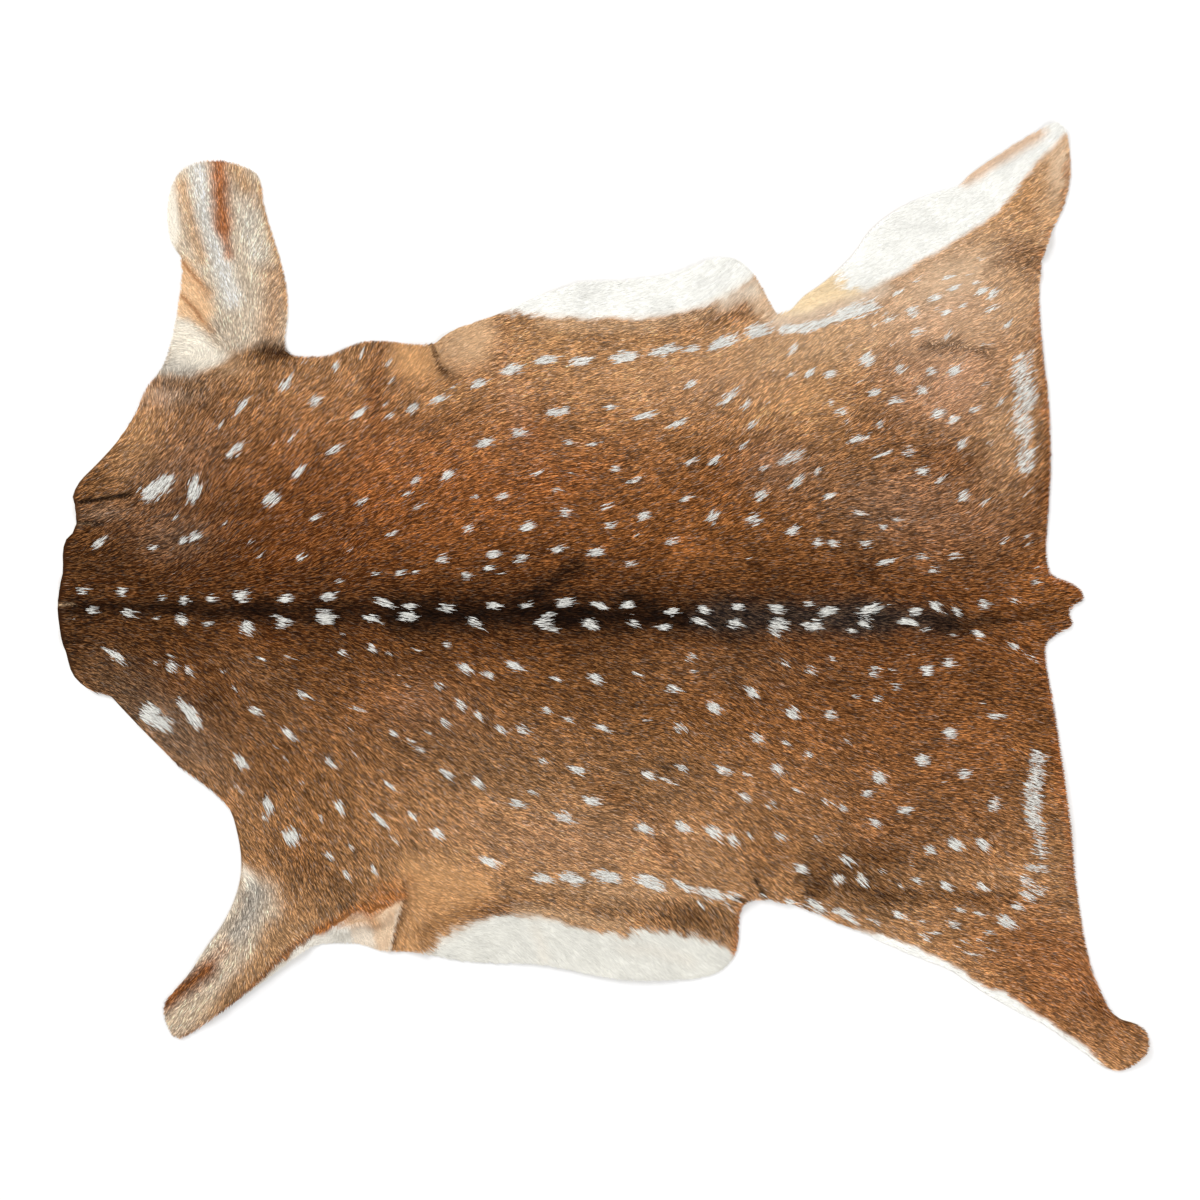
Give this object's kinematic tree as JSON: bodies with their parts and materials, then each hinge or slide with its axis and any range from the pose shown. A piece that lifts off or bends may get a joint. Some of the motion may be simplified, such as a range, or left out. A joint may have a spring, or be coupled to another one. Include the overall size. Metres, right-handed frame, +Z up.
{
  "type": "deer hide",
  "caption": "Spotted deer hide with its hair on, laid flat as a rug or throw: neck, legs and short tail kept in its outline.",
  "frame": {"origin": "centre of the hide's box, on the surface that it lies on", "axes": "+X from the neck to the tail, +Y across the hide, +Z up out of the hair side"},
  "size_m": [1.095, 0.95, 0.0115],
  "materials": {
    "coat": "short brown deer hair with rows of white spots, white belly edges and a dark line along the spine, over a tanned skin"
  },
  "bodies": {
    "root": {"hide": "coat"}
  },
  "joints": []
}
